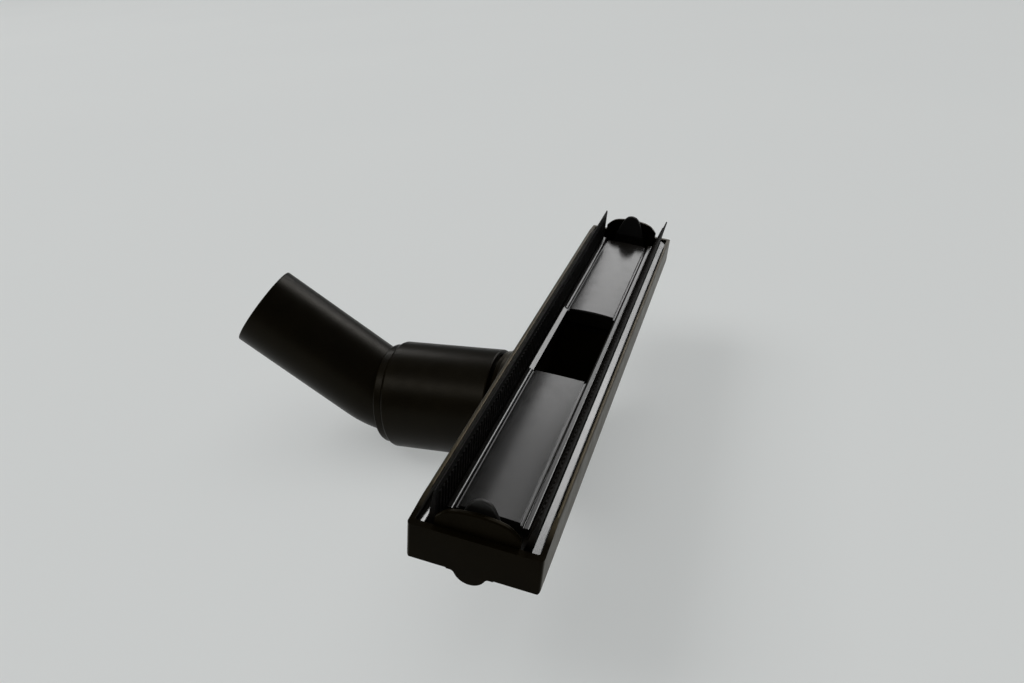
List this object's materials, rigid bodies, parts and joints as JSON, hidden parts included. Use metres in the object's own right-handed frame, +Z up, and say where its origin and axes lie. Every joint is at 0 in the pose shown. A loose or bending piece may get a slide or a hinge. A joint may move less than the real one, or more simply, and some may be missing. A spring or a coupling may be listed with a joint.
{
  "type": "vacuum squeegee floor tool",
  "caption": "Wet pickup floor head with two rubber squeegee lips along a suction channel, and a swivelling angled neck that takes a vacuum wand.",
  "frame": {"origin": "on the ground, on the flat pad under the duct hump, at the middle of the head's length", "axes": "+Z up with the suction side up, +X along the head, +Y along the neck axis away from the head"},
  "size_m": [0.266, 0.1898, 0.0883],
  "materials": {
    "housing_plastic": "semi-gloss, fine mould grain",
    "lip_rubber": "satin",
    "bearing_plastic": "matt"
  },
  "bodies": {
    "head": {"head_housing": "housing_plastic", "channel_insert": "housing_plastic", "front_squeegee": "lip_rubber", "rear_squeegee": "lip_rubber", "duct_gasket": "lip_rubber", "swivel_collar": "housing_plastic", "thrust_washer": "bearing_plastic"},
    "elbow": {"swivel_elbow": "housing_plastic", "retaining_ring": "bearing_plastic", "neck_seal": "lip_rubber"}
  },
  "joints": [
    {"name": "neck_swivel", "type": "hinge", "parent": "head", "child": "elbow", "pos_m": [0, 0.072, 0.026], "axis": [0, 1, 0], "continuous": true}
  ]
}
